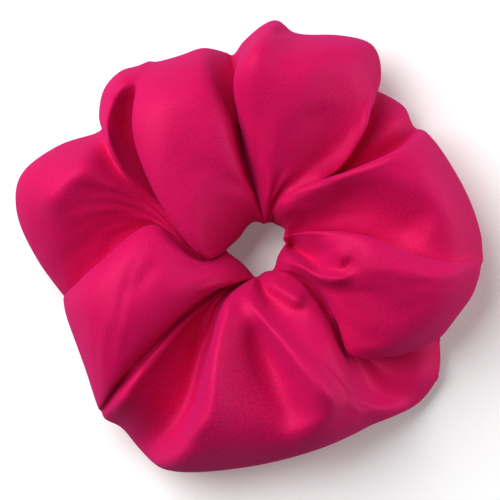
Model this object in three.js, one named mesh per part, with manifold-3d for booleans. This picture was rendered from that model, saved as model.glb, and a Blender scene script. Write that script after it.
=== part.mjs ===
// A large satin scrunchie: a tube of cloth, gathered and closed into a ring round a loop of braided elastic.
// Millimetres, +Z up. It lies flat, and the origin is the middle of its footprint, on the surface it lies on.
// The cover is one piece of cloth. It is held here as two halves, so that the far half can be pulled along +X.
import * as THREE from "three";
import { mergeVertices } from "three/addons/utils/BufferGeometryUtils.js";
import Module from "manifold-3d";

const wasm = await Module();
wasm.setup();

// ---- Driving dimensions ----------------------------------------------------------------------------------
const HOLE_RADIUS = 8.2; // the hole left in the middle when nothing is in it
const COVER_WALL = 1.2; // the gathered cloth, taken as an even wall
const CLEARANCE = 0.3; // between pieces that touch, and between the two halves of the cover

// Crests and valleys of the cover's outer edge, anticlockwise from +X as seen from above:
// [direction in degrees, reach from the ring's axis, height of the puff there].
const PUFFS = [
  [0, 72.5, 38],
  [40, 65.5, 34],
  [62, 75, 44],
  [85, 73, 45],
  [100, 65, 34],
  [128, 72.5, 44],
  [145, 66.5, 33],
  [166, 79, 38],
  [203, 64.5, 35],
  [228, 73, 40],
  [251, 76.5, 38],
  [286, 66.5, 44],
  [317, 73.5, 34],
  [340, 67.5, 37],
];

const ELASTIC_RADIUS = 18; // inner face of the relaxed loop
const ELASTIC_WIDTH = 6;
const ELASTIC_THICKNESS = 1;
const ELASTIC_LAP = 12; // length over which the two ends of the elastic overlap
const ELASTIC_JOIN_DIRECTION = 180; // degrees, the middle of the lap
const ELASTIC_HEIGHT = 16; // the middle of the band's width, above the surface

const SEAM_ALLOWANCE = 7; // raw edges turned inside the tube
const ALLOWANCE_THICKNESS = 0.8; // two layers of cloth
const LONG_SEAM_SHARE = 0.42; // how far out the long seam runs, between the hole and the outer edge
const JOINING_SEAM_DIRECTION = 203; // degrees, in the gather where the two ends of the tube meet

const THREAD_RADIUS = 0.2;
const ZIGZAG_STITCHES = 9;
const ZIGZAG_WIDTH = 4;

const RING_STEPS = 72;
const SECTION_SIDES = 16;
const FLATTENING = 1.12; // above 1, the tube's section is cut off flat where it rests

// ---- The gathered tube, in ring coordinates: direction in degrees, distance from the ring's axis, height ---
function puffAt(direction) {
  const degrees = THREE.MathUtils.euclideanModulo(direction, 360);
  const next = PUFFS.findIndex(([at]) => at > degrees);
  const [to, toReach, toHeight] = next < 0 ? [360, ...PUFFS[0].slice(1)] : PUFFS[next];
  const [from, fromReach, fromHeight] = PUFFS.at(next < 0 ? -1 : next - 1);
  const share = (1 - Math.cos((Math.PI * (degrees - from)) / (to - from))) / 2;
  return {
    reach: THREE.MathUtils.lerp(fromReach, toReach, share),
    height: THREE.MathUtils.lerp(fromHeight, toHeight, share),
  };
}

function ringPoint(direction, distance, z) {
  const angle = THREE.MathUtils.degToRad(direction);
  return new THREE.Vector3(distance * Math.cos(angle), distance * Math.sin(angle), z);
}

// A point of the tube's section, a depth inside its outer face. Turn 0 is the outer edge, and 90 the top.
function coverPoint(direction, turn, depth) {
  const { reach, height } = puffAt(direction);
  const angle = THREE.MathUtils.degToRad(turn);
  const middle = (HOLE_RADIUS + reach) / 2;
  const halfWidth = (reach - HOLE_RADIUS) / 2 - depth;
  const rise = Math.max(0, (1 + FLATTENING * Math.sin(angle)) / (1 + FLATTENING));
  return ringPoint(direction, middle + halfWidth * Math.cos(angle), depth + (height - 2 * depth) * rise);
}

function longSeamDistance(direction) {
  return THREE.MathUtils.lerp(HOLE_RADIUS, puffAt(direction).reach, LONG_SEAM_SHARE);
}

// ---- Solids that are joined and cut ----------------------------------------------------------------------
function solidOf(geometry) {
  const bare = geometry.index ? geometry.toNonIndexed() : geometry.clone();
  bare.deleteAttribute("normal");
  bare.deleteAttribute("uv");
  const merged = mergeVertices(bare);
  return new wasm.Manifold(
    new wasm.Mesh({
      numProp: 3,
      vertProperties: merged.attributes.position.array,
      triVerts: new Uint32Array(merged.index.array),
    }),
  );
}

function geometryOf(solid) {
  const { numProp, vertProperties, triVerts } = solid.getMesh();
  const points = [];
  for (let i = 0; i < vertProperties.length; i += numProp) {
    points.push(new THREE.Vector3().fromArray(vertProperties, i));
  }
  return new THREE.BufferGeometry().setFromPoints(points).setIndex([...triVerts]);
}

// A closed ring whose section, a loop of points, changes with direction.
function ringSolid(sides, pointAt) {
  const points = [];
  const faces = [];
  for (let step = 0; step < RING_STEPS; step++) {
    const onward = (((step + 1) % RING_STEPS) - step) * sides;
    for (let side = 0; side < sides; side++) {
      points.push(pointAt((360 * step) / RING_STEPS, side));
      const a = step * sides + side;
      const b = step * sides + ((side + 1) % sides);
      faces.push(a, a + onward, b, b, a + onward, b + onward);
    }
  }
  const solid = solidOf(new THREE.BufferGeometry().setFromPoints(points).setIndex(faces));
  if (solid.volume() < 0) throw new Error("the ring's faces point inwards");
  return solid;
}

function tubeSolid(depth) {
  return ringSolid(SECTION_SIDES, (direction, side) =>
    coverPoint(direction, (360 * side) / SECTION_SIDES, depth),
  );
}

// ---- The cover -------------------------------------------------------------------------------------------
// The long seam's raw edges stand up inside the tube, as a low wall along its floor.
function longSeamAllowance() {
  const corners = [
    [0.5, 0],
    [0.5, 1],
    [-0.5, 1],
    [-0.5, 0],
  ];
  const floor = COVER_WALL / 2;
  return ringSolid(corners.length, (direction, side) => {
    const [across, up] = corners[side];
    const distance = longSeamDistance(direction) + across * ALLOWANCE_THICKNESS;
    return ringPoint(direction, distance, floor + up * (COVER_WALL - floor + SEAM_ALLOWANCE));
  });
}

// The joining seam's raw edges stand inwards all round the tube, in one upright plane.
function joiningSeamAllowance() {
  const far = Math.max(...PUFFS.map(([, reach]) => reach));
  const tall = 2 * Math.max(...PUFFS.map(([, , height]) => height)); // past the top and the bottom
  const plane = new THREE.BoxGeometry(far, ALLOWANCE_THICKNESS, tall)
    .translate(far / 2, 0, 0)
    .rotateZ(THREE.MathUtils.degToRad(JOINING_SEAM_DIRECTION));
  return tubeSolid(COVER_WALL / 2)
    .subtract(tubeSolid(COVER_WALL + SEAM_ALLOWANCE))
    .intersect(solidOf(plane));
}

function coverHalves() {
  const span = 4 * Math.max(...PUFFS.map(([, reach]) => reach)); // past the ring on every side
  const cut = solidOf(new THREE.BoxGeometry(CLEARANCE, span, span));
  const halves = tubeSolid(0)
    .subtract(tubeSolid(COVER_WALL))
    .add(longSeamAllowance())
    .add(joiningSeamAllowance())
    .subtract(cut)
    .decompose()
    .map(geometryOf);
  const westward = (geometry) => {
    geometry.computeBoundingBox();
    return geometry.boundingBox.min.x;
  };
  return halves.sort((a, b) => westward(a) - westward(b));
}

// ---- The elastic and the threads -------------------------------------------------------------------------
// The elastic winds once round and on over its own start, so its outer layer lies one pitch further out.
const ELASTIC_PITCH = ELASTIC_THICKNESS + CLEARANCE;
const ELASTIC_LAP_DEGREES = THREE.MathUtils.radToDeg(ELASTIC_LAP / (ELASTIC_RADIUS + ELASTIC_PITCH));
const ELASTIC_START = ELASTIC_JOIN_DIRECTION - ELASTIC_LAP_DEGREES / 2;

function elasticPoint(turned, outwards, z = ELASTIC_HEIGHT) {
  const distance = ELASTIC_RADIUS + (ELASTIC_PITCH * turned) / 360 + outwards;
  return ringPoint(ELASTIC_START + turned, distance, z);
}

function pointsAlong(from, to, count, pointAt) {
  return Array.from({ length: count + 1 }, (_, i) => pointAt(from + ((to - from) * i) / count, i));
}

function elasticGeometry() {
  const steps = 60;
  const band = new THREE.Shape();
  band.moveTo(-ELASTIC_WIDTH / 2, -ELASTIC_THICKNESS / 2);
  band.lineTo(ELASTIC_WIDTH / 2, -ELASTIC_THICKNESS / 2);
  band.lineTo(ELASTIC_WIDTH / 2, ELASTIC_THICKNESS / 2);
  band.lineTo(-ELASTIC_WIDTH / 2, ELASTIC_THICKNESS / 2);
  const middle = pointsAlong(0, 360 + ELASTIC_LAP_DEGREES, steps, (turned) =>
    elasticPoint(turned, ELASTIC_THICKNESS / 2),
  );
  const extrudePath = new THREE.CatmullRomCurve3(middle);
  return new THREE.ExtrudeGeometry(band, { steps, extrudePath });
}

function threadGeometry(points, steps) {
  const round = new THREE.Shape().absarc(0, 0, THREAD_RADIUS, 0, 2 * Math.PI);
  const extrudePath = new THREE.CatmullRomCurve3(points);
  return new THREE.ExtrudeGeometry(round, { steps, curveSegments: 3, extrudePath });
}

// A zigzag across the lap, on the outer or the inner face of the elastic.
function elasticJoinThread(firstTurn, outwards) {
  const margin = ELASTIC_LAP_DEGREES / 6; // left unsewn at each end of the lap
  const stepsPerStitch = 6;
  const points = pointsAlong(
    firstTurn + margin,
    firstTurn + ELASTIC_LAP_DEGREES - margin,
    ZIGZAG_STITCHES,
    (turned, i) => elasticPoint(turned, outwards, ELASTIC_HEIGHT + (i % 2 ? 0.5 : -0.5) * ZIGZAG_WIDTH),
  );
  return threadGeometry(points, stepsPerStitch * ZIGZAG_STITCHES);
}

// A seam's needle thread lies on one side of its allowance (side 1), its bobbin thread on the other (side -1).
const THREAD_OFFSET = ALLOWANCE_THICKNESS / 2 + CLEARANCE + THREAD_RADIUS;
const THREAD_DEPTH = COVER_WALL + 4 * CLEARANCE; // inside the outer face, clear of the wall
const SEAM_GAP = 4; // degrees left free on each side of the joining seam's allowance

function longSeamThread(side) {
  const steps = 88;
  const points = pointsAlong(
    JOINING_SEAM_DIRECTION + SEAM_GAP,
    JOINING_SEAM_DIRECTION + 360 - SEAM_GAP,
    steps,
    (direction) => ringPoint(direction, longSeamDistance(direction) + side * THREAD_OFFSET, THREAD_DEPTH),
  );
  return threadGeometry(points, steps);
}

function joiningSeamThread(side) {
  const steps = 40;
  const clearOfLongSeam = 6; // degrees of turn
  const { reach } = puffAt(JOINING_SEAM_DIRECTION);
  const halfWidth = (reach - HOLE_RADIUS) / 2;
  const sideways = (longSeamDistance(JOINING_SEAM_DIRECTION) - HOLE_RADIUS) / halfWidth - 1;
  const longSeamTurn = 360 - THREE.MathUtils.radToDeg(Math.acos(sideways));
  const across = ringPoint(JOINING_SEAM_DIRECTION + 90, side * THREAD_OFFSET, 0);
  const points = pointsAlong(
    longSeamTurn + clearOfLongSeam,
    longSeamTurn + 360 - clearOfLongSeam,
    steps,
    (turn) => coverPoint(JOINING_SEAM_DIRECTION, turn, THREAD_DEPTH).add(across),
  );
  return threadGeometry(points, steps);
}

// ---- The scrunchie ---------------------------------------------------------------------------------------
const satin = new THREE.MeshStandardMaterial({ color: 0xc4084f, roughness: 0.42, metalness: 0 });
const elastic = new THREE.MeshStandardMaterial({ color: 0xf0ede6, roughness: 0.85, metalness: 0 });
const pinkThread = new THREE.MeshStandardMaterial({ color: 0xb5064a, roughness: 0.6, metalness: 0 });
const whiteThread = new THREE.MeshStandardMaterial({ color: 0xf7f5f0, roughness: 0.7, metalness: 0 });

function piece(name, geometry, material) {
  const mesh = new THREE.Mesh(geometry, material);
  mesh.name = name;
  return mesh;
}

const [nearHalf, farHalf] = coverHalves();
const threadFace = CLEARANCE + THREAD_RADIUS;
const scrunchie = new THREE.Group();
scrunchie.add(
  piece("cover_near_half", nearHalf, satin),
  piece("cover_far_half", farHalf, satin),
  piece("elastic_loop", elasticGeometry(), elastic),
  piece("elastic_join_needle_thread", elasticJoinThread(360, ELASTIC_THICKNESS + threadFace), whiteThread),
  piece("elastic_join_bobbin_thread", elasticJoinThread(0, -threadFace), whiteThread),
  piece("long_seam_needle_thread", longSeamThread(1), pinkThread),
  piece("long_seam_bobbin_thread", longSeamThread(-1), pinkThread),
  piece("joining_seam_needle_thread", joiningSeamThread(1), pinkThread),
  piece("joining_seam_bobbin_thread", joiningSeamThread(-1), pinkThread),
);

// The middle of the footprint is the origin, so the ring's axis lies a little off it.
const footprint = new THREE.Box3().setFromObject(scrunchie);
const middle = footprint.getCenter(new THREE.Vector3());
scrunchie.position.set(-middle.x, -middle.y, 0);

export default scrunchie;
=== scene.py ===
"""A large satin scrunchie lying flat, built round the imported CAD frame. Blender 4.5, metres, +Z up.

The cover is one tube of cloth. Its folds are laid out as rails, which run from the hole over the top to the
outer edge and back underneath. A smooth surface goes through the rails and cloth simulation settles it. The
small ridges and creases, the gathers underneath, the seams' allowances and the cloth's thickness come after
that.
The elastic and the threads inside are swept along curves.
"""

import bmesh
import bpy
import numpy as np
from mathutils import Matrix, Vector
from mathutils.bvhtree import BVHTree


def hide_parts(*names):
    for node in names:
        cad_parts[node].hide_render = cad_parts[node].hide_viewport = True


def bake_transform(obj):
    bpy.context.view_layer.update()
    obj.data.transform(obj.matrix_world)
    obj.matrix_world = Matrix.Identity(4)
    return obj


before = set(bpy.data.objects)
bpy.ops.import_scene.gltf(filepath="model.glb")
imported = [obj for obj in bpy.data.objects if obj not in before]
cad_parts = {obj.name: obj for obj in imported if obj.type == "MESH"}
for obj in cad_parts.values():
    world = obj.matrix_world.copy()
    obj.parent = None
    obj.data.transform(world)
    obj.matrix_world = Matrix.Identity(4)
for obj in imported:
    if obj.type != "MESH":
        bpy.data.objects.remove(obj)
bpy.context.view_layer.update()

MM = 0.001
RING_CENTRE = np.array([2.446, 0.547, 0.0])  # mm, where the axis of the hole meets the floor

# ---- The cover's rails -----------------------------------------------------------------------------------
# Anticlockwise round the ring, seen from above. Each row holds: what the rail is; its directions in degrees
# at the hole, at NEAR, at MIDDLE, at the shoulder and at the outer edge; its heights in mm at NEAR, MIDDLE
# and the shoulder; and its reach in mm. A lip hangs over its neighbour, so the tuck beneath it comes out of
# order.
NEAR = 18.0  # mm from the ring's axis
MIDDLE = 34.0
SHOULDER_INSET = 14.0  # mm inside the outer edge, and no further out than SHOULDER_LIMIT
SHOULDER_LIMIT = 61.0
RAILS = [
    ("right lower puff, upper lip", 19, 17.5, 7.5, -4, -3, 29, 38, 32, 73.0),
    ("tuck under it", 21, 13, 1, -6, 0, 20, 24, 30.5, 72.8),
    ("right puff, foot", 27, 24, 12, 4, 4, 21, 26, 31.5, 72.4),
    ("right puff, slope", 36, 38, 27, 16, 14, 26, 31, 35, 70),
    ("right puff, crest", 46, 50, 38, 29, 28, 30, 36, 37, 67.2),
    ("right puff, upper lip", 56, 63, 42.5, 35.3, 34.5, 28, 36, 36, 66),
    ("tuck under it", 58, 59, 41, 33, 38, 22, 22, 18, 64.5),
    ("upper right hollow", 59, 61, 42.5, 41.5, 44, 22, 21, 20, 66.5),
    ("tuck under the top puff", 60, 64, 46, 50, 56, 22, 22, 19, 64),
    ("top puff, right lip", 61, 61, 42.5, 47.5, 53.5, 26, 27, 29, 66),
    ("top puff, right shoulder", 63, 67, 52, 55, 57, 25, 27, 29, 72.6),
    ("top puff, right crest", 65, 72, 63, 63, 61, 27, 31, 33, 75.5),
    ("top puff, middle", 68, 78, 75, 72, 69, 28, 36, 38, 73.3),
    ("top puff, beside its roll", 70, 84, 86, 82, 79.5, 27, 36, 41, 70.0),
    ("top puff, roll", 72, 91, 94, 91, 85, 23, 32, 43, 73.4),
    ("top puff, left lip", 73, 92.5, 98, 98.5, 93, 21, 27, 34, 67),
    ("tuck beside it", 74, 92, 100, 95.5, 97, 20, 23, 24, 63),
    ("upper left puff, right foot", 75, 93.5, 100, 100.5, 99, 26, 32, 30, 64),
    ("upper left puff, right flank", 95, 105, 107, 106, 105, 30, 37.5, 37, 66.7),
    ("upper left puff, crest", 115, 130, 126, 116, 111, 33, 39.5, 40, 66.5),
    ("upper left puff, left shoulder", 150, 162, 142, 127, 118, 34, 39.5, 40, 68),
    ("upper left puff, left lip", 182, 188, 155, 136, 119.5, 32, 36, 35, 69.3),
    ("tuck under the left lip", 183, 184, 149, 133, 122.5, 23, 21, 21, 69.7),
    ("hollow beside the left lip", 183.1, 186, 151, 137.5, 127, 23, 20, 21, 71.5),
    ("rolled rim", 183.2, 187, 153, 143.5, 133.5, 23, 23, 33, 71),
    ("rolled rim, lip", 183.4, 188, 156, 148.5, 140, 23, 25, 34, 66),
    ("tuck beside it", 183.6, 189, 158, 150, 142.5, 23, 24, 28, 63),
    ("left puff, top", 183.8, 190, 160, 155, 152, 23, 25, 34, 71.4),
    ("left puff, middle", 184, 191, 162, 162, 163, 23, 24, 33, 79.6),
    ("left puff, outer", 184.2, 192, 164, 169, 172, 23, 23, 31, 78),
    ("left puff, low", 184.4, 193, 166, 175, 183, 23, 21, 27, 71),
    ("left puff, foot", 184.6, 194, 168, 180, 191, 23, 20, 23, 66),
    ("tuck under the band", 185, 193, 171, 189, 198, 22, 20, 21, 62.5),
    ("lower left band, upper lip", 186, 194, 166, 185, 194.5, 28, 31, 33, 64),
    ("lower left band, upper side", 197, 200, 176, 193, 199, 31, 37, 38.5, 64.8),
    ("lower left band, crest", 215, 209, 191, 203.5, 207, 32.5, 39.5, 40, 65.3),
    ("lower left band, lower side", 240, 220, 207, 213.5, 216, 31.5, 39, 39, 67.5),
    ("lower left band, lower lip", 268, 227, 219.5, 223, 225.3, 27, 33, 33, 72.5),
    ("tuck under it", 269, 227, 221.5, 224, 226.5, 21, 26, 28, 72.7),
    ("lower left slope, foot", 269.3, 231, 225.5, 227, 228.5, 21, 27, 31, 73.6),
    ("lower left slope, crest", 269.6, 234, 232, 233, 233, 20, 23, 28, 72.5),
    ("lower left valley", 270, 237, 242, 245.5, 240, 19, 17, 20, 75.5),
    ("bottom puff, left ridge", 270.3, 242, 248.5, 252.5, 248, 28, 37, 37, 77),
    ("bottom puff, middle", 270.6, 262, 275, 278, 267, 31, 30, 31, 70.6),
    ("bottom puff, right ridge", 271, 273, 287, 295, 286, 30, 38, 39, 67.5),
    ("bottom puff, right slope", 275, 284, 297, 301, 297, 25, 34, 35, 67.5),
    ("small puff at the hole", 290, 305, 307, 303, 303, 27, 31, 31, 68),
    ("small puff, right foot", 304, 322, 313.5, 305, 309, 24, 27, 26, 70),
    ("lower right hollow", 305, 325, 316, 309, 317, 21, 21, 15, 73),
    ("lower right hollow, far side", 306, 327, 318, 316, 326, 21, 20, 14, 72),
    ("tuck under the right lower puff", 307, 328, 320, 318, 337, 21, 20, 14, 64.5),
    ("right lower puff, lower lip", 308, 329, 317.5, 310.5, 336, 24, 26, 24, 66),
    ("right lower puff, lower slope", 318, 334, 327, 323, 343, 26, 31, 30, 68.5),
    ("right lower puff, middle", 340, 340, 337, 338, 348, 30, 35, 34, 71),
    ("right lower puff, crest", 370, 350, 348, 348, 353, 25, 39, 37, 72),
    ("right lower puff, pocket", 371, 365, 358, 353, 356, 27, 40, 37, 72.3),
]
# Rails whose shoulder is nearer the hole, in mm: the right lower puff's lower lip runs across, not outwards.
SHOULDERS = {
    "tuck under the right lower puff": 49,
    "right lower puff, lower lip": 46,
    "right lower puff, lower slope": 51,
}
# Heights in mm of the brow, just inside the outer edge, where a roll goes round the end of a hollow.
BROWS = {
    "upper left puff, left lip": 30,
    "tuck under the left lip": 30,
    "hollow beside the left lip": 31,
}
# The edge of the hole, as [direction in degrees, distance in mm from the ring's axis].
HOLE_EDGE = [
    [12, 9.5], [23, 9.0], [33, 11.1], [53, 10.7], [72, 8.1], [92, 8.6], [125, 6.8], [156, 6.3], [180, 10.2],
    [204, 7.0], [225, 6.4], [248, 6.9], [268, 9.3], [287, 7.7], [306, 8.7], [325, 7.5], [347, 6.9],
]
# Small ridges and creases on the upper side: what each is, its half width and height in mm, and its path as
# [direction, distance].
STROKES = [
    ["roll below the pocket", 2.0, 4.2, [[337, 7.5], [334, 17.8], [336.4, 25], [342, 28.3], [350.6, 29.7]]],
    ["pocket's floor", 3.5, -3.5, [[20, 9], [8, 13], [358, 18], [350, 23]]],
    ["pocket", 1.8, -4.0, [[13, 8.5], [10, 10], [351, 15.8], [344, 19.3], [340.4, 24]]],
    ["pocket's end", 1.0, -2.6, [[354, 29.4], [350, 29.0], [345, 28], [341, 26]]],
    ["pocket's far wall", 3.0, 1.2, [[12, 14], [4, 20], [356, 26], [352, 30]]],
    ["small puff's crest", 3.0, 3.2, [[283, 9.5], [291.5, 13], [303, 18], [311, 24]]],
    ["crease below the small puff", 2.0, -1.6, [[268, 10], [285, 14.5], [296.8, 19.2], [307.2, 26.4]]],
    ["crease above the small puff", 1.5, -1.5, [[318, 12], [326, 20], [321, 28], [314, 33]]],
    ["left ridge", 3.6, 3.2, [[251, 10], [238.5, 16.5], [243.3, 27], [248.4, 37], [253, 46.7], [254.2, 54.2],
                              [250, 62.6], [243, 67.5]]],
    ["beside the left ridge", 1.4, 0.6, [[257.3, 44], [259.6, 53], [257.2, 61.4], [252, 68.5]]],
    ["between the two", 1.3, -0.4, [[255.3, 44], [257, 54], [254, 62], [249, 67]]],
    ["highlight on the slope's edge", 2.0, 1.6, [[226, 50], [228.5, 60], [229.2, 70]]],
    ["left puff's ridge", 5.0, 3.0, [[140, 64], [145, 61.0], [152.5, 60.3], [158, 61.5], [164, 65],
                                     [172, 70]]],
    ["top puff's hollow", 7.0, -1.0, [[46, 30], [54, 36], [62, 43], [68, 50]]],
    ["right puff's hollow", 8.0, -3.0, [[42, 26], [28, 34], [14, 44], [3, 55]]],
    ["top puff's lower wave", 4.5, 1.2, [[42, 32], [54, 26], [70, 20]]],
    ["top puff's notch", 1.1, -2.5, [[86, 67], [82.8, 69.8], [79, 72]]],
    ["band's crease", 2.2, -0.5, [[189, 31], [193, 35], [200, 43]]],
    ["bottom puff's long ridge", 4.0, 2.2, [[262, 14], [279, 25.5], [289, 36.5], [294, 47], [297, 58]]],
    ["bottom puff's dip", 5.0, -2.2, [[262, 20], [273, 30], [278, 40], [281, 50], [284, 60]]],
]
CLOTH_WIDTH = 0.165  # m, round the tube, with the seam allowances
CLOTH_LENGTH = 0.56  # m, along the tube
CLOTH_THICKNESS = 0.4  # mm, as every length below
HOLE_HEIGHT = 16.0
BROW_INSET = 4.5
BROW_SHARE = 0.78  # the brow's height as a share of the shoulder's
RIM_SHARE = 0.5  # the outer edge's height as a share of the brow's
FLOOR_GAP = 0.6
UNDER_SHARE = 0.80  # of the reach, where the outer row underneath lies
UNDER_INSIDE = 15.0  # the innermost row underneath, from the ring's axis
UNDER_INSIDE_HEIGHT = 4.5
VALLEY_HEIGHT = 34  # where the shoulder is lower than this, the cloth underneath rises off the floor
LIFT_SHARE = 0.45  # by this share of the difference, and by no more than LIFT_LIMIT
LIFT_LIMIT = 9.0
STROKE_BASE = 14.0  # strokes begin at this height, and are full STROKE_RISE above it
STROKE_RISE = 6.0
STROKE_ENDS = 0.22  # the share of a stroke's length over which it fades in, and out
PLEATS = 40
PLEAT_HEIGHTS = [8, 15, 25, 38, 48, 58], [0.6, 1.8, 3.2, 3.8, 2.2, 0.4]  # distances from the axis, heights
WALL_RIPPLE = 0.4
LOWEST_CLOTH = 0.4
HELD_INSIDE = 17  # nearer the axis than this, the simulation doesn't move the cloth
HELD_OUTSIDE = 62  # nor further out than this
COLUMNS_PER_RAIL = 4
ROWS_PER_GAP = [7, 7, 8, 6, 4, 6, 6, 5, 5]  # hole, near, middle, shoulder, brow, rim, three underneath
SEAM_ROW = sum(ROWS_PER_GAP[:7])  # the long seam runs along this row, the middle one underneath
LONG_SEAM_SHARE = 0.42  # of the way from the hole to the outer edge
SEAM_RISE = 1.2  # the long seam's line is drawn up into the cover
JOINING_SEAM_RAIL = "lower left band, crest"


def polar(directions, distances, heights):
    """Points in mm from directions in degrees, distances from the ring's axis and heights in mm."""
    angles = np.radians(directions)
    xyz = np.broadcast_arrays(distances * np.cos(angles), distances * np.sin(angles), heights)
    return np.stack(xyz, -1) + RING_CENTRE


def evened(values, reach):
    """Directions averaged with reach neighbours on each side round the ring, so that they run in order."""
    turns = np.concatenate([values[-reach:] - 360, values, values[:reach] + 360])
    window = np.ones(2 * reach + 1) / (2 * reach + 1)
    return np.convolve(turns, window, mode="valid")


def rail_points():
    """The rails' control points, as an array of rail by place round the tube by XYZ."""
    rows = np.array([rail[1:] for rail in RAILS], float)
    at_hole, at_near, at_middle, at_shoulder, at_rim, near, middle, shoulder, reach = rows.T
    one = np.ones_like(reach)
    shoulder_at = np.minimum(reach - SHOULDER_INSET, SHOULDER_LIMIT)
    brow = BROW_SHARE * shoulder
    for i, rail in enumerate(RAILS):
        shoulder_at[i] = SHOULDERS.get(rail[0], shoulder_at[i])
        brow[i] = BROWS.get(rail[0], brow[i])
    # Underneath, the rails change from the outer edge's directions to equal steps at the hole.
    under = evened(at_rim, 5)
    equal_steps = 360 * np.arange(len(RAILS)) / len(RAILS)
    equal_steps += np.mean(under - equal_steps)
    lift = np.clip(LIFT_SHARE * (VALLEY_HEIGHT - shoulder), 0.0, LIFT_LIMIT)
    edge = np.array(HOLE_EDGE, float)
    hole = np.interp(at_hole, edge[:, 0], edge[:, 1], period=360)
    return np.stack([
        polar(at_hole, hole, HOLE_HEIGHT * one),
        polar(at_near, NEAR * one, near),
        polar(at_middle, MIDDLE * one, middle),
        polar(at_shoulder, shoulder_at, shoulder),
        polar(0.68 * at_rim + 0.32 * at_shoulder, reach - BROW_INSET, brow),
        polar(at_rim, reach, RIM_SHARE * brow),
        polar(under, UNDER_SHARE * reach, FLOOR_GAP + lift),
        polar(0.5 * (under + equal_steps), hole + LONG_SEAM_SHARE * (reach - hole), FLOOR_GAP + 0.6 * lift),
        polar(0.2 * under + 0.8 * equal_steps, UNDER_INSIDE * one, UNDER_INSIDE_HEIGHT * one),
    ], axis=1)


def through(points, counts):
    """A smooth closed curve through points along axis 0, with counts[i] samples from point i on.

    It is a centripetal Catmull-Rom curve, which doesn't loop where points lie close together.
    """
    before, after, beyond = (np.roll(points, shift, 0) for shift in (1, -1, -2))

    def knot(a, b):
        """The root of the distance from a to b, and never nothing."""
        return np.maximum(np.linalg.norm(b - a, axis=-1, keepdims=True) ** 0.5, 0.05)

    back, here, ahead = knot(before, points), knot(points, after), knot(after, beyond)
    leave = ((points - before) / back - (after - before) / (back + here) + (after - points) / here) * here
    arrive = ((after - points) / here - (beyond - points) / (here + ahead) + (beyond - after) / ahead) * here
    made = []
    for i, count in enumerate(counts):
        for u in np.arange(count) / count:
            made.append(
                points[i] * (2 * u**3 - 3 * u**2 + 1)
                + leave[i] * (u**3 - 2 * u**2 + u)
                + after[i] * (3 * u**2 - 2 * u**3)
                + arrive[i] * (u**3 - u**2)
            )
    return np.array(made)


def cover_grid():
    """Points of the cover in mm, as columns along the cloth by rows round the tube."""
    rails = rail_points()
    round_tube = through(np.swapaxes(rails, 0, 1), ROWS_PER_GAP)
    grid = through(np.swapaxes(round_tube, 0, 1), [COLUMNS_PER_RAIL] * len(RAILS))
    grid[:, SEAM_ROW, 2] += SEAM_RISE
    return grid


def along_path(points, step=0.6):
    """Samples about step mm apart on a smooth open curve, and how far along it each is, from 0 to 1."""
    points = np.vstack([2 * points[0] - points[1], points, 2 * points[-1] - points[-2]])
    samples = []
    for a, b, c, d in zip(points, points[1:], points[2:], points[3:]):
        count = max(2, int(np.linalg.norm(c - b) / step))
        t = (np.arange(count) / count)[:, None]
        squared = (2 * a - 5 * b + 4 * c - d) * t**2
        cubed = (3 * b - a - 3 * c + d) * t**3
        samples.append(0.5 * (2 * b + (c - a) * t + squared + cubed))
    samples = np.vstack(samples + [points[-2][None]])
    return samples, np.linspace(0, 1, len(samples))


def stroked(points):
    """The cover's points in mm with the small ridges and creases added to its upper side."""
    upper = np.clip((points[:, 2] - STROKE_BASE) / STROKE_RISE, 0.0, 1.0)
    for _, width, height, path in STROKES:
        path = polar(*np.array(path, float).T, 0.0)[:, :2]
        samples, along = along_path(path)
        fade = np.clip(np.minimum(along, 1 - along) / STROKE_ENDS, 0, 1)
        fade = fade * fade * (3 - 2 * fade)
        near = np.all(np.abs(points[:, :2] - samples.mean(0)) < np.ptp(samples, 0) / 2 + 3 * width, axis=1)
        chosen = np.flatnonzero(near & (upper > 0))
        gaps = np.linalg.norm(points[chosen, None, :2] - samples[None], axis=2)
        nearest = gaps.argmin(1)
        gap = gaps[np.arange(len(chosen)), nearest]
        points[chosen, 2] += height * fade[nearest] * upper[chosen] * np.exp(-((gap / width) ** 2))
    return points


def pleated(points, normals):
    """Adds the gathers that the elastic makes: radial pleats underneath, and ripples low on the hole's wall.

    below is the share of a pleat that a point gets, from how far the cloth faces down and how low it lies,
    and wall is the share of a ripple. The sines vary the pleats' spacing and size slowly round the ring.
    """
    from_axis = points - RING_CENTRE
    distance = np.hypot(from_axis[:, 0], from_axis[:, 1])
    angle = np.arctan2(from_axis[:, 1], from_axis[:, 0])
    wander = 0.9 * np.sin(5 * angle + 1) + 0.6 * np.sin(3 * angle)
    wave = np.sin(PLEATS * angle + wander + 0.03 * distance)
    size = np.interp(distance, *PLEAT_HEIGHTS)
    size *= 0.8 + 0.2 * np.sin(9 * angle + 0.05 * distance)
    below = np.clip(-1.6 * normals[:, 2], 0, 1) * np.clip((11 - points[:, 2]) / 5, 0, 1)
    points[:, 2] = np.maximum(points[:, 2], LOWEST_CLOTH) + below * size * (1 + wave)
    wall = np.clip((17 - distance) / 4, 0, 1) * np.clip((13 - points[:, 2]) / 5, 0, 1) * (1 - below)
    return points - normals * (WALL_RIPPLE * wall * (1 + wave))[:, None]


def joining_column():
    """The column of the cover's grid where the tube's two ends are sewn together."""
    return COLUMNS_PER_RAIL * [rail[0] for rail in RAILS].index(JOINING_SEAM_RAIL)


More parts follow.
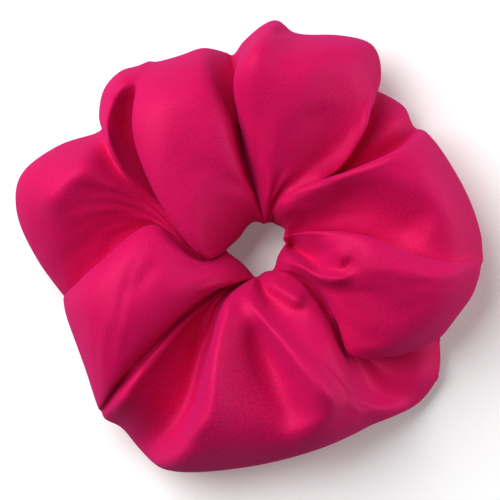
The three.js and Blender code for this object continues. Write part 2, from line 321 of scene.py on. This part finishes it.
def with_allowances(obj, grid, width=2, depth=0.9):
    """Adds the seams' allowances to the cover's mesh: strips of cloth pressed open against its inside.

    They are width rows wide on each side of the long seam, and lie depth mm inside the cover.
    """
    columns, rows = grid.shape[:2]
    across = np.roll(grid, -1, 1) - np.roll(grid, 1, 1)
    along = np.roll(grid, -1, 0) - np.roll(grid, 1, 0)
    inward = np.cross(along, across)
    inward *= depth / np.linalg.norm(inward, axis=2, keepdims=True)
    lining = (grid + inward) * MM
    column = joining_column()
    built = bmesh.new()
    built.from_mesh(obj.data)

    def strip(first, second):
        """Adds the lining's patch at these columns and rows."""
        vertices = [[built.verts.new(lining[c % columns, r % rows]) for r in second] for c in first]
        for a, b in zip(vertices, vertices[1:]):
            for i in range(len(second) - 1):
                built.faces.new((a[i], a[i + 1], b[i + 1], b[i])).smooth = True

    clear_rows = range(SEAM_ROW + width + 1, SEAM_ROW + rows - width)
    for side in (-1, 1):
        strip(range(columns + 1), sorted(SEAM_ROW + side * i for i in range(width + 1)))
        strip(sorted(column + side * i for i in range(4 * width + 1)), clear_rows)
    built.to_mesh(obj.data)
    built.free()


def grid_mesh(name, grid):
    """A closed tube mesh from a grid of points in mm, with UVs in metres of flat cloth."""
    columns, rows = grid.shape[:2]
    c, r = np.meshgrid(np.arange(columns), np.arange(rows), indexing="ij")
    c2, r2 = (c + 1) % columns, (r + 1) % rows
    corners = [c * rows + r, c * rows + r2, c2 * rows + r2, c2 * rows + r]
    faces = np.stack(corners, -1).reshape(-1, 4)
    mesh = bpy.data.meshes.new(name)
    mesh.from_pydata((grid.reshape(-1, 3) * MM).tolist(), [], faces.tolist())
    mesh.update()
    uv = mesh.uv_layers.new(name="cloth")
    along = np.stack([c, c, c + 1, c + 1], -1) * CLOTH_LENGTH / columns
    across = np.stack([r, r + 1, r + 1, r], -1) * CLOTH_WIDTH / rows
    uv.data.foreach_set("uv", np.stack([along, across], -1).astype(np.float32).ravel())
    obj = bpy.data.objects.new(name, mesh)
    bpy.context.scene.collection.objects.link(obj)
    for polygon in mesh.polygons:
        polygon.use_smooth = True
    return obj


def points_of(obj):
    """A mesh's vertices as an array in mm."""
    flat = np.empty(len(obj.data.vertices) * 3, np.float32)
    obj.data.vertices.foreach_get("co", flat)
    return flat.reshape(-1, 3).astype(float) / MM


def normals_of(obj):
    """A mesh's vertex normals as an array."""
    flat = np.empty(len(obj.data.vertices) * 3, np.float32)
    obj.data.vertices.foreach_get("normal", flat)
    return flat.reshape(-1, 3).astype(float)


def apply_modifiers(obj):
    """Applies all of an object's modifiers in order."""
    with bpy.context.temp_override(object=obj, active_object=obj):
        for modifier in list(obj.modifiers):
            bpy.ops.object.modifier_apply(modifier=modifier.name)


def set_points(obj, points):
    """Moves a mesh's vertices to points in mm."""
    obj.data.vertices.foreach_set("co", (points * MM).astype(np.float32).ravel())
    obj.data.update()


def settle(obj, frames=12, slack=0.014, cap=3.0, share=0.35):
    """Where cloth simulation puts the cover's vertices, in mm: slack cloth, with a little pressure inside.

    The hole and the outer edge are held still, and the rest is held softly. No vertex moves more than cap mm,
    and share of each move is kept, because the full move wrinkles more than this satin does.
    """
    before = points_of(obj)
    from_axis = np.hypot(*(before - RING_CENTRE)[:, :2].T)
    held = np.where((from_axis < HELD_INSIDE) | (from_axis > HELD_OUTSIDE), 1.0, 0.25)
    group = obj.vertex_groups.new(name="held")
    for weight in np.unique(held):
        group.add(np.flatnonzero(held == weight).tolist(), float(weight), "REPLACE")
    modifier = obj.modifiers.new("cloth", "CLOTH")
    cloth = modifier.settings
    cloth.quality = 5
    cloth.mass = 0.15
    cloth.tension_stiffness = cloth.compression_stiffness = 15
    cloth.shear_stiffness = 5
    cloth.bending_stiffness = 3.0
    cloth.vertex_group_mass = "held"
    cloth.pin_stiffness = 1.0
    cloth.shrink_min = cloth.shrink_max = -slack
    cloth.use_pressure = True
    cloth.uniform_pressure_force = 1.0
    cloth.effector_weights.gravity = 0.0
    modifier.collision_settings.use_collision = False
    modifier.collision_settings.use_self_collision = True
    modifier.collision_settings.self_distance_min = 0.0008
    modifier.point_cache.frame_start = 1
    modifier.point_cache.frame_end = frames
    scene = bpy.context.scene
    for number in range(1, frames + 1):
        scene.frame_set(number)
    evaluated = obj.evaluated_get(bpy.context.evaluated_depsgraph_get()).to_mesh()
    flat = np.empty(len(evaluated.vertices) * 3, np.float32)
    evaluated.vertices.foreach_get("co", flat)
    after = flat.reshape(-1, 3).astype(float) / MM
    obj.modifiers.remove(modifier)
    scene.frame_set(1)
    move = after - before
    size = np.linalg.norm(move, axis=1, keepdims=True)
    move *= np.minimum(1.0, cap / np.maximum(size, 1e-6))
    return before + share * move


# ---- Materials -------------------------------------------------------------------------------------------
def new_material(name, roughness, sheen, sheen_tint, sheen_roughness=0.6):
    """A procedural material, its shader, a function that adds nodes to it, and its links."""
    material = bpy.data.materials.new(name)
    material.use_nodes = True
    tree = material.node_tree
    shader = tree.nodes["Principled BSDF"]
    shader.inputs["Roughness"].default_value = roughness
    shader.inputs["Sheen Weight"].default_value = sheen
    shader.inputs["Sheen Roughness"].default_value = sheen_roughness
    shader.inputs["Sheen Tint"].default_value = (*sheen_tint, 1)

    def add(kind, settings=(), **inputs):
        """Adds a node with its inputs set or linked, by name or as i and their number."""
        node = tree.nodes.new(kind)
        for key, value in dict(settings).items():
            setattr(node, key, value)
        for key, value in inputs.items():
            socket = node.inputs[int(key[1:])] if key[0] == "i" and key[1:].isdigit() else node.inputs[key]
            if isinstance(value, bpy.types.NodeSocket):
                tree.links.new(value, socket)
            else:
                socket.default_value = value
        return node

    return material, shader, add, tree.links


def mixed(add, factor, one, two):
    """A mix of two colours, by factor."""
    node = add("ShaderNodeMix", {"data_type": "RGBA"}, i0=factor)
    for index, value in ((6, one), (7, two)):
        if isinstance(value, bpy.types.NodeSocket):
            node.id_data.links.new(value, node.inputs[index])
        else:
            node.inputs[index].default_value = (*value, 1)
    return node.outputs[2]


def satin():
    """Satin: long fine floats across the strip, a grain, a slow drift of colour, and a soft pink gloss."""
    material, shader, add, links = new_material("pink satin", 0.6, 0.18, (1.0, 0.12, 0.75), 0.8)
    shader.inputs["Metallic"].default_value = 0.12
    shader.inputs["Specular IOR Level"].default_value = 0.45
    shader.inputs["Specular Tint"].default_value = (1.0, 0.45, 0.85, 1)
    cloth = add("ShaderNodeUVMap", {"uv_map": "cloth"}).outputs["UV"]
    floats = add("ShaderNodeMapping", Vector=cloth, Scale=(3400, 1100, 1)).outputs[0]
    streaks = add("ShaderNodeTexNoise", Vector=floats, Scale=1.0, Detail=1.0).outputs["Fac"]
    grain = add("ShaderNodeTexNoise", Vector=cloth, Scale=1700.0, Detail=2.0, Roughness=0.7).outputs["Fac"]
    drift = add("ShaderNodeTexNoise", Vector=cloth, Scale=30.0, Detail=1.0).outputs["Fac"]
    both = add("ShaderNodeMath", {"operation": "ADD"}, i0=streaks, i1=grain).outputs[0]
    fine = add("ShaderNodeMapRange", i0=both, i1=0.7, i2=1.3).outputs[0]
    deep = mixed(add, drift, (0.44, 0.0002, 0.040), (0.48, 0.0003, 0.052))
    light = mixed(add, drift, (0.68, 0.0008, 0.100), (0.73, 0.0010, 0.120))
    links.new(mixed(add, fine, deep, light), shader.inputs["Base Color"])
    rough = add("ShaderNodeMapRange", i0=grain, i1=0.3, i2=0.7, i3=0.54, i4=0.70).outputs[0]
    links.new(rough, shader.inputs["Roughness"])
    bump = add("ShaderNodeBump", Strength=0.35, Distance=0.00008, Height=both)
    links.new(bump.outputs[0], shader.inputs["Normal"])
    return material


def braided():
    """White braided elastic: a herringbone of yarns over rubber cords."""
    material, shader, add, links = new_material("braided elastic", 0.85, 0.15, (1.0, 1.0, 1.0))
    cloth = add("ShaderNodeUVMap", {"uv_map": "cloth"}).outputs["UV"]
    split = add("ShaderNodeSeparateXYZ", Vector=cloth)
    fold = add("ShaderNodeMath", {"operation": "PINGPONG"}, i0=split.outputs[1], i1=0.0007).outputs[0]
    slant = add("ShaderNodeMath", {"operation": "ADD"}, i0=split.outputs[0], i1=fold).outputs[0]
    yarns = add("ShaderNodeMath", {"operation": "PINGPONG"}, i0=slant, i1=0.0004).outputs[0]
    height = add("ShaderNodeMapRange", i0=yarns, i1=0.0, i2=0.0004).outputs[0]
    links.new(mixed(add, height, (0.70, 0.68, 0.63), (0.90, 0.88, 0.84)), shader.inputs["Base Color"])
    bump = add("ShaderNodeBump", Strength=0.6, Distance=0.0001, Height=height)
    links.new(bump.outputs[0], shader.inputs["Normal"])
    return material


def spun(name, dark, light):
    """Sewing thread: two plies twisted together."""
    material, shader, add, links = new_material(name, 0.6, 0.1, light)
    cloth = add("ShaderNodeUVMap", {"uv_map": "cloth"}).outputs["UV"]
    split = add("ShaderNodeSeparateXYZ", Vector=cloth)
    twist = add("ShaderNodeMath", {"operation": "ADD"}, i0=split.outputs[0], i1=split.outputs[1]).outputs[0]
    plies = add("ShaderNodeMath", {"operation": "PINGPONG"}, i0=twist, i1=0.0003).outputs[0]
    height = add("ShaderNodeMapRange", i0=plies, i1=0.0, i2=0.0003).outputs[0]
    links.new(mixed(add, height, dark, light), shader.inputs["Base Color"])
    bump = add("ShaderNodeBump", Strength=0.5, Distance=0.00005, Height=height)
    links.new(bump.outputs[0], shader.inputs["Normal"])
    return material


# ---- Pieces inside the cover -----------------------------------------------------------------------------
ELASTIC_RADIUS = 18.0  # mm, as in the CAD model
ELASTIC_PITCH = 1.3  # mm that the spiral grows in one turn
ELASTIC_HALF_LAP = 17.8  # degrees
ELASTIC_JOIN = 180.0  # degrees, the direction of the lap's middle
ELASTIC_HEIGHT = 16.0
ELASTIC_WIDTH = 5.8
ELASTIC_THICKNESS = 1.0
ELASTIC_CORDS = 6
ZIGZAG_STITCHES = 9
ZIGZAG_HALF_WIDTH = 2.0
ZIGZAG_GAP = 0.25  # mm between the thread's middle and the elastic's face
THREAD_RADIUS = 0.2
SEAM_THREAD_ASIDE = 0.35  # mm from the seam's line
SEAM_THREAD_DEPTH = 1.9  # mm inside the cover's outer skin
STITCH_RIPPLE = 0.12


def kept_inside(points, skin, depth):
    """Moves points in mm to at least depth inside the cover's outer skin, a BVH tree in metres."""
    for _ in range(4):
        for i, point in enumerate(points):
            nearest, normal, _, _ = skin.find_nearest(Vector(point * MM))
            nearest = np.array(nearest) / MM
            normal = np.array(normal)
            inside = np.dot(nearest - point, normal)
            if inside < depth:
                points[i] = point + normal * (inside - depth)
    return points


def sweep(name, middle, sections):
    """A band in mm: each section holds [outwards, up] offsets from its point of middle."""
    outward = middle - RING_CENTRE
    outward[:, 2] = 0
    outward /= np.linalg.norm(outward, axis=1, keepdims=True)
    up = np.array([0.0, 0.0, 1.0])
    rings = middle[:, None] + sections[..., :1] * outward[:, None] + sections[..., 1:] * up
    return ring_mesh(name, rings, closed=False)


def thread_tube(name, middle, closed=False, sides=7):
    """A thread of THREAD_RADIUS along middle, in mm."""
    ahead = np.roll(middle, -1, 0) - np.roll(middle, 1, 0)
    if not closed:
        ahead[0] = middle[1] - middle[0]
        ahead[-1] = middle[-1] - middle[-2]
    ahead /= np.linalg.norm(ahead, axis=1, keepdims=True)
    side = np.cross(ahead, [0.1, 0.2, 0.97])
    side /= np.linalg.norm(side, axis=1, keepdims=True)
    top = np.cross(side, ahead)
    turn = 2 * np.pi * np.arange(sides) / sides
    rings = middle[:, None] + THREAD_RADIUS * (
        np.cos(turn)[None, :, None] * side[:, None] + np.sin(turn)[None, :, None] * top[:, None]
    )
    return ring_mesh(name, rings, closed)


def ring_mesh(name, rings, closed):
    """A mesh from rings of points in mm, with its ends filled unless closed, and UVs in metres."""
    count, sides = rings.shape[:2]
    spans = count if closed else count - 1
    faces = []
    for i in range(spans):
        j = (i + 1) % count
        for k in range(sides):
            m = (k + 1) % sides
            faces.append([i * sides + k, i * sides + m, j * sides + m, j * sides + k])
    if not closed:
        faces.append(list(range(sides))[::-1])
        faces.append([(count - 1) * sides + k for k in range(sides)])
    mesh = bpy.data.meshes.new(name)
    mesh.from_pydata((rings.reshape(-1, 3) * MM).tolist(), [], faces)
    middle = rings.mean(1)
    travelled = np.concatenate([[0], np.cumsum(np.linalg.norm(np.diff(middle, axis=0), axis=1))]) * MM
    round_way = np.linalg.norm(rings[0, 1] - rings[0, 0]) * MM
    uv = mesh.uv_layers.new(name="cloth")
    for polygon in mesh.polygons:
        for loop in polygon.loop_indices:
            vertex = mesh.loops[loop].vertex_index
            uv.data[loop].uv = (travelled[vertex // sides], (vertex % sides) * round_way)
    mesh.update()
    for polygon in mesh.polygons:
        polygon.use_smooth = True
    obj = bpy.data.objects.new(name, mesh)
    bpy.context.scene.collection.objects.link(obj)
    return obj


def elastic_spiral(turned, outwards, height):
    """Points on the elastic, turned degrees on from its first end. It is a spiral, so that its ends lap."""
    start = ELASTIC_JOIN - ELASTIC_HALF_LAP
    return polar(start + turned, ELASTIC_RADIUS + ELASTIC_PITCH * turned / 360 + outwards, height)


def braided_elastic():
    """The flat elastic, with the bulges of its rubber cords and the ripple of its braid."""
    turned = np.linspace(0, 360 + 2 * ELASTIC_HALF_LAP, 640)
    middle = elastic_spiral(turned, ELASTIC_THICKNESS / 2, ELASTIC_HEIGHT)
    half = ELASTIC_WIDTH / 2
    up = np.linspace(-half, half, 4 * ELASTIC_CORDS + 1)
    bulge = 0.4 + 0.1 * np.abs(np.sin(np.pi * (up + half) / ELASTIC_WIDTH * ELASTIC_CORDS))
    section = np.vstack([np.stack([bulge, up], 1), np.stack([-bulge, up], 1)[::-1]])
    wobble = 1 + 0.08 * np.sin(np.radians(turned) * 90)
    sections = section[None] * np.stack([wobble, np.ones_like(wobble)], 1)[:, None]
    return sweep("braided_elastic", middle, sections)


def zigzag(side):
    """The zigzag that joins the elastic's ends, on the lap's outer or inner face."""
    margin = ELASTIC_HALF_LAP / 3
    share = np.linspace(0, 1, 6 * ZIGZAG_STITCHES + 1)
    swing = ZIGZAG_HALF_WIDTH * (2 * np.abs(((share * ZIGZAG_STITCHES) % 2) - 1) - 1)
    turned = margin + share * (2 * ELASTIC_HALF_LAP - 2 * margin)
    if side > 0:
        return elastic_spiral(turned + 360, ELASTIC_THICKNESS + ZIGZAG_GAP, ELASTIC_HEIGHT + swing)
    return elastic_spiral(turned, -ZIGZAG_GAP, ELASTIC_HEIGHT + swing)


def long_seam(grid, side):
    """A thread beside the long seam, just inside the cover's underside."""
    line = grid[:, SEAM_ROW]
    aside = grid[:, SEAM_ROW + side] - line
    aside = SEAM_THREAD_ASIDE * aside / np.linalg.norm(aside, axis=1, keepdims=True)
    points = line + aside + [0, 0, SEAM_THREAD_DEPTH]
    points = through(points, [3] * len(points))
    points[:, 2] += STITCH_RIPPLE * np.sin(np.arange(len(points)) * 1.4)
    return points


def joining_seam(skin, grid, side):
    """A thread beside the seam that joins the tube's two ends, just inside the cover."""
    line = grid[joining_column()]
    aside = grid[joining_column() + side] - line
    aside = SEAM_THREAD_ASIDE * aside / np.linalg.norm(aside, axis=1, keepdims=True)
    points = through(line + aside, [3] * len(line))
    inward = points.mean(0) - points
    # Most of the way in goes towards the tube's middle, and kept_inside sees to the rest.
    points += 1.8 * inward / np.linalg.norm(inward, axis=1, keepdims=True)
    return kept_inside(points, skin, SEAM_THREAD_DEPTH)


# ---- Building --------------------------------------------------------------------------------------------
def finish_piece(piece, slot, material, *nodes):
    """Gives a piece its material, hides the CAD nodes that it stands for, and bakes its transform."""
    piece.data.materials.clear()
    piece.data.materials.append(material)
    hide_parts(*nodes)
    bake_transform(piece)


cover = grid_mesh("satin_cover", cover_grid())
set_points(cover, settle(cover))
base_count = len(cover.data.vertices)
subdivision = cover.modifiers.new("smooth", "SUBSURF")
subdivision.levels = subdivision.render_levels = 1
apply_modifiers(cover)
set_points(cover, stroked(points_of(cover)))
set_points(cover, pleated(points_of(cover), normals_of(cover)))
places = [vertex.co[:] for vertex in cover.data.vertices]
skin = BVHTree.FromPolygons(places, [polygon.vertices[:] for polygon in cover.data.polygons])
grid = points_of(cover)[:base_count].reshape(-1, sum(ROWS_PER_GAP), 3)
with_allowances(cover, grid)
solid = cover.modifiers.new("cloth thickness", "SOLIDIFY")
solid.thickness = CLOTH_THICKNESS * MM
solid.offset = -1
apply_modifiers(cover)

pink = spun("pink thread", (0.40, 0.001, 0.06), (0.62, 0.002, 0.12))
white = spun("white thread", (0.70, 0.69, 0.66), (0.92, 0.91, 0.88))
finish_piece(cover, "satin", satin(), "cover_near_half", "cover_far_half")
finish_piece(braided_elastic(), "elastic", braided(), "elastic_loop")
for label, side in (("needle", 1), ("bobbin", -1)):
    thread = thread_tube("elastic_zigzag_" + label + "_thread", zigzag(side))
    finish_piece(thread, "white_thread", white, "elastic_join_" + label + "_thread")
    thread = thread_tube("long_seam_" + label + "_stitching", long_seam(grid, side), closed=True)
    finish_piece(thread, "pink_thread", pink, "long_seam_" + label + "_thread")
    thread = thread_tube("joining_seam_" + label + "_stitching", joining_seam(skin, grid, side), closed=True)
    finish_piece(thread, "pink_thread", pink, "joining_seam_" + label + "_thread")

# ---- Floor, light and camera -----------------------------------------------------------------------------
bpy.ops.mesh.primitive_plane_add(size=4, location=(0, 0, -0.0002))  # clear of what rests on it
floor = bpy.context.object
floor.name = "floor"
pale = bpy.data.materials.new("pale floor")
pale.use_nodes = True
paint = pale.node_tree.nodes["Principled BSDF"].inputs
paint["Base Color"].default_value = (0.9, 0.9, 0.9, 1)
paint["Roughness"].default_value = 0.8
paint["Emission Color"].default_value = (1, 1, 1, 1)
paint["Emission Strength"].default_value = 0.12
floor.data.materials.append(pale)
floor.visible_glossy = False  # or its reflection turns the folds' rims grey


def area_light(name, place, size, power):
    """A square light of size metres, aimed at the origin."""
    light = bpy.data.lights.new(name, "AREA")
    light.size = size
    light.energy = power
    obj = bpy.data.objects.new(name, light)
    bpy.context.scene.collection.objects.link(obj)
    obj.location = place
    obj.rotation_euler = (-obj.location).to_track_quat("-Z", "Y").to_euler()


area_light("key", (-0.53, 0.38, 0.74), 0.9, 12.5)
area_light("side", (0.9, 0.1, 0.2), 0.7, 5.5)
world = bpy.data.worlds.new("studio")
world.use_nodes = True
sky = world.node_tree.nodes["Background"].inputs
sky["Color"].default_value = (1, 1, 1, 1)
sky["Strength"].default_value = 0.05
bpy.context.scene.world = world
bpy.context.scene.view_settings.view_transform = "Standard"
bpy.context.scene.view_settings.look = "Medium High Contrast"

FRAME_WIDTH = 160.0 * MM  # what the view spans at FRAME_HEIGHT
FRAME_HEIGHT = 0.02
CAMERA_ASIDE = 0.0003  # the photo isn't quite centred
lens = bpy.data.cameras.new("camera")
lens.lens = 200
camera = bpy.data.objects.new("camera", lens)
bpy.context.scene.collection.objects.link(camera)
camera.location = (CAMERA_ASIDE, 0.0, FRAME_HEIGHT + lens.lens * FRAME_WIDTH / lens.sensor_width)
bpy.context.scene.camera = camera
